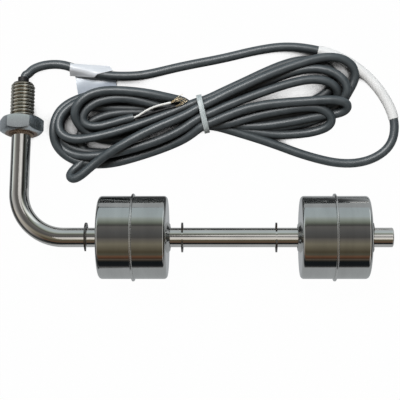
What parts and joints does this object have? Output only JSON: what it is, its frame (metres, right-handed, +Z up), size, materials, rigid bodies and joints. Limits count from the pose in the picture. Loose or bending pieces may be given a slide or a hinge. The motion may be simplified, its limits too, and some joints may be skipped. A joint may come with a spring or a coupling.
{
  "type": "float level switch",
  "caption": "Bent-stem liquid level switch: polished cylindrical floats sliding between retaining rings, a threaded hex fitting and a tied signal cable with stripped cores.",
  "frame": {"origin": "on the floor under the middle of the switch, its cable left out", "axes": "+X along the horizontal stem towards its tip, +Y the way the leg points to the thread, +Z up"},
  "size_m": [0.2671, 0.1598, 0.0571],
  "materials": {
    "polished_steel": "polished stainless steel tube",
    "float_steel": "mirror polished stainless sheet",
    "fitting_steel": "turned stainless bar, satin",
    "tinted_weld": "heat-tinted weld",
    "ring_steel": "dull spring steel",
    "ferrite": "sintered magnet, bare",
    "reed_glass": "clear glass",
    "reed_blade": "plated spring blade",
    "clear_sleeve": "clear shrink sleeve",
    "white_insulation": "smooth vinyl",
    "black_insulation": "smooth vinyl",
    "bare_strands": "bare copper strands",
    "cable_jacket": "satin grey vinyl",
    "black_sleeve": "matt heat-shrink",
    "potting": "black epoxy",
    "white_tube": "off-white shrink sleeve",
    "tie_nylon": "natural nylon",
    "label_film": "white film, unprinted"
  },
  "bodies": {
    "stem": {"stem_tube": "polished_steel", "end_plug": "polished_steel", "hex_fitting": "fitting_steel", "fitting_weld": "tinted_weld", "cable_exit_sleeve": "black_sleeve", "potting_plug": "potting", "retaining_ring_1": "ring_steel", "retaining_ring_2": "ring_steel", "retaining_ring_3": "ring_steel", "retaining_ring_4": "ring_steel", "reed_capsule_1": "reed_glass", "reed_blades_1": "reed_blade", "reed_sleeve_1": "clear_sleeve", "reed_capsule_2": "reed_glass", "reed_blades_2": "reed_blade", "reed_sleeve_2": "clear_sleeve", "inner_wire_white": "white_insulation", "inner_wire_black": "black_insulation", "cable_run": "cable_jacket", "white_sleeve": "white_tube", "cable_hank": "cable_jacket", "cable_tie": "tie_nylon", "marker_label": "label_film", "white_core": "white_insulation", "white_core_strands": "bare_strands", "black_core": "black_insulation", "black_core_strands": "bare_strands"},
    "float_1": {"float_1_inner_cup": "float_steel", "float_1_outer_cup": "float_steel", "float_1_bore_tube": "float_steel", "float_1_magnet": "ferrite"},
    "float_2": {"float_2_inner_cup": "float_steel", "float_2_outer_cup": "float_steel", "float_2_bore_tube": "float_steel", "float_2_magnet": "ferrite"}
  },
  "joints": [
    {"name": "float_1_slide", "type": "slide", "parent": "stem", "child": "float_1", "axis": [1, 0, 0], "range_m": [-0.0061, 0.0071]},
    {"name": "float_2_slide", "type": "slide", "parent": "stem", "child": "float_2", "axis": [1, 0, 0], "range_m": [-0.0131, 0]}
  ]
}
